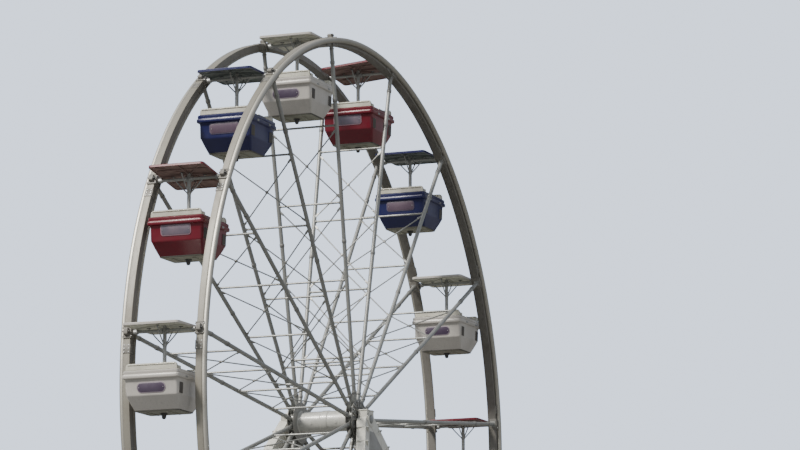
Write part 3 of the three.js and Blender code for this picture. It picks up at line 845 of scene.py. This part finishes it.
def tub_underside():
    """The flat pan below a tub, its dark edge, skids and the rubber nub."""
    shape = bmesh.new()
    edge = [(-1.682, 0.478, 0.35), (-1.678, 0.497, 0.369), (-1.662, 0.5, 0.372), (-1.656, 0.49, 0.36)]
    add(shape, lofted(edge, 0.06), slot=1)
    pan = [(-1.692, 0.44, 0.318), (-1.688, 0.47, 0.342), (-1.68, 0.478, 0.35), (-1.67, 0.478, 0.35)]
    add(shape, lofted(pan, 0.05))
    for side in SIDES.values():
        box(shape, (0.045, 0.5, 0.016), 0.005, at(side * 0.24, 0, -1.698))
    nub = [
        (0, -1.81), (0.022, -1.81), (0.036, -1.8), (0.042, -1.785), (0.056, -1.715), (0.075, -1.71),
        (0.075, -1.688), (0, -1.688),
    ]
    add(shape, turned(nub, 24), slot=2)
    return shape


def tub_fittings(colour):
    """A tub's sign plates, its side slots with their shade painted dark, screws and hinges."""
    shape = bmesh.new()
    width, height, level = SIGNS[colour][:3]
    corner = height / 2 - 0.004 if colour == "white" else 0.05
    screw = width / 2 - 0.03
    reach = WALL_REACH + WALL_SLOPE * (level - WALL_LEVEL)
    for end in (-1, 1):
        face = at(0, end * reach, level) @ about("X", -90 * end) @ about("X", WALL_TILT)
        add(shape, panel(width + 0.04, height + 0.04, 0.009, corner + 0.02, 0.003, 8), face, 1)
        add(shape, panel(width, height, 0.013, corner, 0.003, 8), face)
        bolt_rows(shape, face @ at(0, 0, 0.013), 0.008, 2, (-screw, screw))
        for side in SIDES.values():
            flank = at(side * 0.5885, end * 0.46, SLOT_LEVEL) @ about("Y", 92 * side)
            # A gelcoat plate with a dark panel on it, which paints the shade inside the side slot.
            add(shape, panel(0.255, 0.2, 0.006, 0.025, 0.002), flank, 3)
            add(shape, panel(0.225, 0.17, 0.009, 0.015, 0.002), flank, 4)
            bolt_rows(shape, flank @ at(0, 0, 0.006), 0.005, 3, (-0.12, 0.12))
    for side in SIDES.values():
        for y in (-0.3, 0.3):
            hinge = at(side * 0.638, y, -1.01)
            box(shape, (0.014, 0.09, 0.045), 0.005, hinge, 2)
            add(shape, cylinder(0.009, 0.1, 10), hinge @ at(side * 0.006, 0, 0) @ about("X", 90), 2)
    return shape


def canopy_roof():
    """A canopy's shell: hollow below, a rolled fascia round it and a shallow hip above."""
    shape = lofted(
        [
            (0.118, 0.05, 0.056), (0.106, 0.25, 0.28), (0.088, 0.48, 0.54), (0.072, 0.592, 0.662),
            (0.062, 0.604, 0.674), (0.044, 0.607, 0.677), (0.04, 0.611, 0.681), (0.04, 0.623, 0.693),
            (0.045, 0.63, 0.7), (0.084, 0.63, 0.7), (0.094, 0.624, 0.694), (0.1, 0.6, 0.668),
            (0.116, 0.47, 0.524), (0.134, 0.28, 0.312), (0.146, 0.12, 0.134), (0.151, 0.04, 0.045),
        ],
        0.0055, 5,
    )
    for face in shape.faces:
        middle = face.calc_center_median()
        below = face.normal.z < -0.3 and abs(middle.x) < 0.61 and abs(middle.y) < 0.68
        within = face.normal.dot(Vector((middle.x, middle.y, 0))) < 0 and middle.z < 0.08
        if below or within:
            face.material_index = 1
    return shape


def canopy_ribs():
    """The bars that stiffen a canopy from below."""
    shape = bmesh.new()
    for x, y in ((0.6, 0), (-0.6, 0), (0, 0.67), (0, -0.67)):
        tip = Vector((x, y, 0.064))
        member(shape, tip * 0.05 + Vector((0, 0, 0.097)), tip, (0.028, 0.03), 0.005)
    for x in (-1, 1):
        for y in (-1, 1):
            corner = Vector((x * 0.575, y * 0.64, 0.074))
            member(shape, Vector((0.02 * x, 0.02 * y, 0.106)), corner, (0.022, 0.022), 0.004)
    for y in (-0.35, 0.35):
        member(shape, Vector((-0.585, y, 0.074)), Vector((0.585, y, 0.074)), (0.024, 0.022), 0.004)
    return shape


def canopy_frame():
    """What holds a canopy: post, foot, pivot tube and four slanting braces."""
    shape = bmesh.new()
    post = [
        (0, -1.6), (0.056, -1.6), (0.056, -1.588), (0.05, -1.56), (0.041, -1.54), (0.041, -0.33),
        (0.047, -0.325), (0.047, -0.27), (0.041, -0.265), (0.041, -0.07), (0.05, -0.06), (0.05, 0.0),
        (0.042, 0.012), (0.042, 0.1), (0.07, 0.112), (0, 0.126),
    ]
    add(shape, turned(post, 24))
    add(shape, cylinder(0.032, 1.399, 20), about("Y", 90))
    for side in SIDES.values():
        sleeve = [(0.032, 0), (0.05, 0), (0.055, 0.006), (0.055, 0.06), (0.044, 0.09), (0.032, 0.09)]
        add(shape, turned(sleeve, 20), at(side * 0.69, 0, 0) @ about("Y", -90 * side), 2)
        collar = [(0.032, 0), (0.055, 0), (0.055, 0.05), (0.046, 0.06), (0.032, 0.06)]
        add(shape, turned(collar, 20), at(side * 0.035, 0, 0) @ about("Y", 90 * side), 2)
    for quarter in range(4):
        turn = about("Z", 90 * quarter)
        brace = [turn @ Vector((reach, 0, level)) for reach, level in BRACE_POINTS]
        add(shape, swept(brace, 0.014, 10), slot=2)
        add(shape, panel(0.09, 0.05, 0.008, 0.012, 0.002), turn @ at(0.36, 0, 0.066) @ about("Y", 180), 1)
    bolt_circle(shape, at(0, 0, -1.588), 0.007, 1, 0.046, 6)
    return shape


class WHEEL_OT_tubs(bpy.types.Operator):
    """Mould the fifteen tubs with their liners, benches, pans and bare sign plates"""

    bl_idname = "wheel.tubs"
    bl_label = "Tubs"

    def execute(self, context):
        shell = mesh_of(tub_shell(), sharp_degrees=30)
        liner = mesh_of(tub_liner(), finishes("liner_gelcoat", "zinc_steel", "tread_rubber"))
        underside = mesh_of(tub_underside(), finishes("under_sealer", "pan_trim", "dark_steel"))
        zinc, slot_shade = finishes("zinc_steel", "slot_painted_shade")
        for number, colour in TUB_COLOURS.items():
            place = at(*PIVOTS[number])
            body = "cabin_" + number
            outside = copy_to(shell, place, [gelcoat(colour)])
            show(outside, "tub_shell_" + number, body, ["tub_" + number])
            show(copy_to(liner, place), "tub_liner_" + number, body)
            show(copy_to(underside, place), "tub_underside_" + number, body)
            trim = mesh_of(tub_fittings(colour), [*sign_finishes(colour), zinc, gelcoat(colour), slot_shade])
            trim.transform(place)
            show(trim, "tub_trim_" + number, body)
        discard(shell, liner, underside)
        return {"FINISHED"}


class WHEEL_OT_canopies(bpy.types.Operator):
    """Mould the fifteen canopies on their posts, with pivot tubes and braces"""

    bl_idname = "wheel.canopies"
    bl_label = "Canopies"

    def execute(self, context):
        roof = mesh_of(canopy_roof(), sharp_degrees=30)
        ribs = mesh_of(canopy_ribs())
        holder = mesh_of(canopy_frame(), finishes("post_steel", "dark_steel", "brace_steel"))
        for number, colour in TUB_COLOURS.items():
            place = at(*PIVOTS[number])
            body = "cabin_" + number
            about_x, about_y = CANOPY_LEAN.get(number, (0, 0))
            leaning = place @ about("X", -about_x) @ about("Y", -about_y)
            outside = copy_to(roof, leaning, [gelcoat(colour), canopy_lining(colour)])
            show(outside, "canopy_roof_" + number, body, ["canopy_" + number])
            show(copy_to(ribs, leaning, [canopy_lining(colour)]), "canopy_ribs_" + number, body)
            show(copy_to(holder, place), "canopy_frame_" + number, body)
        discard(roof, ribs, holder)
        return {"FINISHED"}


def leg_place(side, end, drop):
    """The place on a leg's axis at a drop below the legs' apex."""
    x = side * (LEG_APEX.x + LEG_LEAN * drop)
    return at(x, end * (LEG_APEX.y + LEG_SPREAD * drop), LEG_APEX.z - drop)


def tower_head(shape, side):
    """The bearing rings and plates of one tower's head, and dark sheets over its gusset faces as painted
    shade.
    """
    head = at(side * HEAD_X, 0, HUB.z)
    profile = [
        (0.096, 0.1), (0.15, 0.1), (0.172, 0.108), (0.172, 0.125), (0.15, 0.134), (0.112, 0.134),
        (0.096, 0.128),
    ]
    for half_turn, shift in ((0, 0), (180, -0.02)):
        axle = head @ about("Y", 90 * side + half_turn)
        add(shape, turned(profile, 40), axle @ at(0, 0, shift))
        bolt_circle(shape, axle @ at(0, 0, 0.105), 0.013, 2, 0.14, 8, 22.5)
    for level, high in ((-0.235, 0.034), (-0.07, 0.02), (0.195, 0.024)):
        box(shape, (0.236, 0.41, high), 0.006, head @ at(0, 0, level))
        top = head @ at(0, 0, level + high / 2)
        bolt_rows(shape, top, 0.014, 2, (-0.085, 0.085), (-0.165, 0.165))
    middle = sum(GUSSET_DROP) / 2
    for facing in (-1, 1):
        # A dark sheet over each face of the gusset, painted shade where the gusset lies in shadow.
        shade_sheet = rounded_box((0.01, 1.0, GUSSET_DROP[1] - GUSSET_DROP[0]), 0.003)
        for vert in shade_sheet.verts:
            drop = middle - vert.co.z
            vert.co.y *= 2 * (LEG_SPREAD * drop - 0.075)
            vert.co.x += side * LEG_LEAN * drop + facing * 0.067
        add(shape, shade_sheet, head @ at(0, 0, -middle), 3)


def leg_details(shape, side, end):
    """The splice flanges, collars and foot plate of one leg, with their bolts."""
    turn = along(Vector((side * LEG_LEAN, end * LEG_SPREAD, -1)), up="X")
    splice = leg_place(side, end, SPLICE_PLACE / LEG_SLANT) @ turn
    for half_turn in (0, 180):
        flange = splice @ about("X", half_turn)
        box(shape, (0.4, 0.33, 0.026), 0.006, flange @ at(0, 0, 0.016))
        bolt_rows(shape, flange @ at(0, 0, 0.029), 0.016, 2, (-0.165, 0.0, 0.165), (-0.13, 0.13))
    for drop in (0.24, 0.58):
        collar = leg_place(side, end, drop) @ turn
        box(shape, (0.318, 0.246, 0.032), 0.006, collar)
        for facing in (-1, 1):
            face = collar @ at(0, facing * 0.122, 0) @ about("X", -90 * facing)
            bolt_rows(shape, face, 0.012, 2, (-0.11, 0.11))
    foot = leg_place(side, end, LEG_APEX.z - SILL_TOP)
    box(shape, (0.3, 0.62, 0.03), 0.006, foot @ at(0, 0, 0.018))
    bolt_rows(shape, foot @ at(0, 0, 0.033), 0.018, 2, (-0.115, 0.115), (-0.27, 0.27))


def paint_node(name, finish):
    for slot in frame["nodes"][name].material_slots:
        slot.link = "OBJECT"
        slot.material = finishes(finish)[0]


class WHEEL_OT_towers(bpy.types.Operator):
    """Paint the towers and add their bearing rings, plates, splices, collars and bolts, with dark sheets on
    the gussets as painted shade
    """

    bl_idname = "wheel.towers"
    bl_label = "Towers"

    def execute(self, context):
        for name, side in SIDES.items():
            shape = bmesh.new()
            tower_head(shape, side)
            for end in (-1, 1):
                leg_details(shape, side, end)
            details = mesh_of(shape, finishes("tower_enamel", "dark_steel", "zinc_steel", "flange_steel_and_gusset_shade"), 30)
            show(details, "tower_details_" + name, "frame")
            for node_name in ("tower_head_", "tower_leg_front_", "tower_leg_back_", "tower_tie_"):
                paint_node(node_name + name, "tower_enamel")
        return {"FINISHED"}


class WHEEL_OT_ground(bpy.types.Operator):
    """Paint the ground frame and add the rings and bolts at its pads, its ribs and its rails"""

    bl_idname = "wheel.ground"
    bl_label = "Ground frame"

    def execute(self, context):
        for name, side in SIDES.items():
            shape = bmesh.new()
            for y in PAD_PLACES:
                pad = at(side * SILL_X, y, 0)
                ring = turned([(0.1, 0.06), (0.17, 0.06), (0.17, 0.075), (0.12, 0.09), (0.1, 0.09)], 28)
                add(shape, ring, pad, 1)
                bolt_circle(shape, pad @ at(0, 0, 0.06), 0.016, 1, 0.3, 4, 45)
                for facing in (-1, 1):
                    box(shape, (0.014, 0.2, 0.2), 0.004, pad @ at(facing * 0.156, 0, 0.18))
            for facing in (-1, 1):
                for level in (0.1, 0.36):
                    rail = at(side * SILL_X + facing * 0.155, 0, level)
                    box(shape, (0.016, 16.6, 0.02), 0.004, rail)
            details = mesh_of(shape, finishes("ground_enamel", "zinc_steel"), 30)
            show(details, "ground_details_" + name, "frame")
            paint_node("ground_sill_" + name, "ground_enamel")
        for name in ("cross_beam_front", "cross_beam_back"):
            paint_node(name, "ground_enamel")
        return {"FINISHED"}


class WHEEL_OT_stage(bpy.types.Operator):
    """Lay the floor and set the lights, the sky and the camera"""

    bl_idname = "wheel.stage"
    bl_label = "Stage"

    def execute(self, context):
        scene = context.scene
        bpy.ops.mesh.primitive_plane_add(size=900, location=(0, 0, 0))
        floor = context.object
        floor.name = "floor"
        plain = bpy.data.materials.new("floor_paint")
        plain.use_nodes = True
        surface = {"Base Color": (0.5, 0.5, 0.49), "Roughness": 0.9}
        set_inputs(plain.node_tree, plain.node_tree.nodes["Principled BSDF"], surface)
        floor.data.materials.append(plain)
        floor.visible_diffuse = False
        floor.visible_glossy = False
        floor.visible_shadow = False
        self.sky(scene)
        self.sun("key_sun", KEY_SUN, settings().sun_strength, 10, SUN_COLOUR)
        glow = self.sun("sun_glow", KEY_SUN, settings().glow_strength, 44, SUN_COLOUR)
        glow.visible_diffuse = False
        self.sun("fill_sun", FILL_SUN, settings().fill_strength, 60, (0.93, 0.96, 1))
        camera = bpy.data.cameras.new("camera")
        camera.lens = CAMERA_LENS
        camera.sensor_width = 36
        camera.clip_start = 1
        camera.clip_end = 600
        eye = put("camera", camera)
        tilt = Matrix.Rotation(math.pi / 2 + CAMERA_ELEVATION, 4, "X")
        eye.matrix_world = at(*CAMERA_PLACE) @ Matrix.Rotation(CAMERA_AZIMUTH, 4, "Z") @ tilt
        scene.camera = eye
        return {"FINISHED"}

    def sun(self, name, toward, strength, spread, colour):
        light = bpy.data.lights.new(name, "SUN")
        light.energy = strength
        light.angle = math.radians(spread)
        light.color = colour
        lamp = put(name, light)
        lamp.rotation_euler = toward.to_track_quat("Z", "Y").to_euler()
        return lamp

    def sky(self, scene):
        """A pale backdrop for the camera. It lights the wheel softly from above and hardly from below."""
        world = bpy.data.worlds.new("studio")
        world.use_nodes = True
        scene.world = world
        tree = world.node_tree
        tree.nodes.clear()
        direction = node(tree, "SeparateXYZ", {"Vector": node(tree, "TexCoord", {})["Generated"]})
        height = ramp(tree, direction["Z"], -0.12, 0.3)
        lighting = mix_colour(tree, height, settings().ground_light, settings().sky_light)
        lit = node(tree, "Background", {"Color": lighting})["Background"]
        backdrop = {"Color": settings().backdrop, "Strength": settings().backdrop_strength}
        seen = node(tree, "Background", backdrop)["Background"]
        by_camera = node(tree, "LightPath", {})["Is Camera Ray"]
        either = node(tree, "MixShader", {0: by_camera, 1: lit, 2: seen})["Shader"]
        node(tree, "OutputWorld", {"Surface": either})


class WheelSettings(bpy.types.PropertyGroup):
    """Colours, light and smoothness of the wheel"""

    wheel_paint: colour_property("Hub paint", "Enamel of the hub", (0.56, 0.56, 0.52))
    spoke_colour: colour_property("Spoke paint", "Silver paint of the spoke frames", (0.32, 0.325, 0.31))
    rim_colour: colour_property("Rim paint", "Weathered paint of the rims", (0.21, 0.2, 0.18))
    edge_tube_colour: colour_property("Edge tube", "Bright tube along each rim", (0.46, 0.445, 0.4))
    tower_paint: colour_property("Tower paint", "Enamel of the towers", (0.7, 0.69, 0.62))
    ground_paint: colour_property("Ground paint", "Enamel of the sills and cross beams", (0.07, 0.073, 0.072))
    red_gelcoat: colour_property("Red", "Gelcoat of the red tubs and canopies", (0.15, 0.004, 0.017))
    white_gelcoat: colour_property("White", "Gelcoat of the white tubs and canopies", (0.56, 0.53, 0.49))
    blue_gelcoat: colour_property("Blue", "Gelcoat of the blue tubs and canopies", (0.011, 0.014, 0.092))
    liner_colour: colour_property("Liner", "Moulding inside the tubs", (0.6, 0.585, 0.5))
    post_colour: colour_property("Post", "Paint of the canopy posts", (0.42, 0.43, 0.42))
    backdrop: colour_property("Backdrop", "Sky behind the wheel", (0.73, 0.83, 1.0))
    backdrop_strength: strength_property("Backdrop strength", "Brightness of the sky behind", 1.75, 3)
    sky_light: colour_property("Sky light", "Soft light from above", (0.42, 0.45, 0.5))
    ground_light: colour_property("Ground light", "Soft light from below", (0.3, 0.3, 0.285))
    sun_strength: strength_property("Sun", "Strength of the key light", 4.2, 10)
    glow_strength: strength_property("Glow", "Bright sky round the sun, seen in reflections only", 4.2, 10)
    fill_strength: strength_property("Fill", "Strength of the broad light from the near side", 0.22, 5)
    rim_steps: bpy.props.IntProperty(
        name="Rim steps", description="Straight lengths round a rim", default=180, min=45, max=360
    )


OPERATORS = (
    WHEEL_OT_rims, WHEEL_OT_hub, WHEEL_OT_spokes, WHEEL_OT_tubs, WHEEL_OT_canopies, WHEEL_OT_towers,
    WHEEL_OT_ground, WHEEL_OT_stage,
)


class WHEEL_PT_dresser(bpy.types.Panel):
    """The wheel's pieces, one button each"""

    bl_idname = "WHEEL_PT_dresser"
    bl_label = "Fairground wheel"
    bl_space_type = "VIEW_3D"
    bl_region_type = "UI"
    bl_category = "Wheel"

    def draw(self, context):
        layout = self.layout
        for name in WheelSettings.__annotations__:
            layout.prop(context.scene.wheel_settings, name)
        for operator in OPERATORS:
            layout.operator(operator.bl_idname)


CLASSES = (WheelSettings, *OPERATORS, WHEEL_PT_dresser)


def register():
    for cls in CLASSES:
        bpy.utils.register_class(cls)
    bpy.types.Scene.wheel_settings = bpy.props.PointerProperty(type=WheelSettings)


def unregister():
    del bpy.types.Scene.wheel_settings
    for cls in reversed(CLASSES):
        bpy.utils.unregister_class(cls)


def main():
    register()
    bpy.ops.wheel.rims()
    bpy.ops.wheel.hub()
    bpy.ops.wheel.spokes()
    bpy.ops.wheel.tubs()
    bpy.ops.wheel.canopies()
    bpy.ops.wheel.towers()
    bpy.ops.wheel.ground()
    bpy.ops.wheel.stage()


if __name__ == "__main__":
    main()
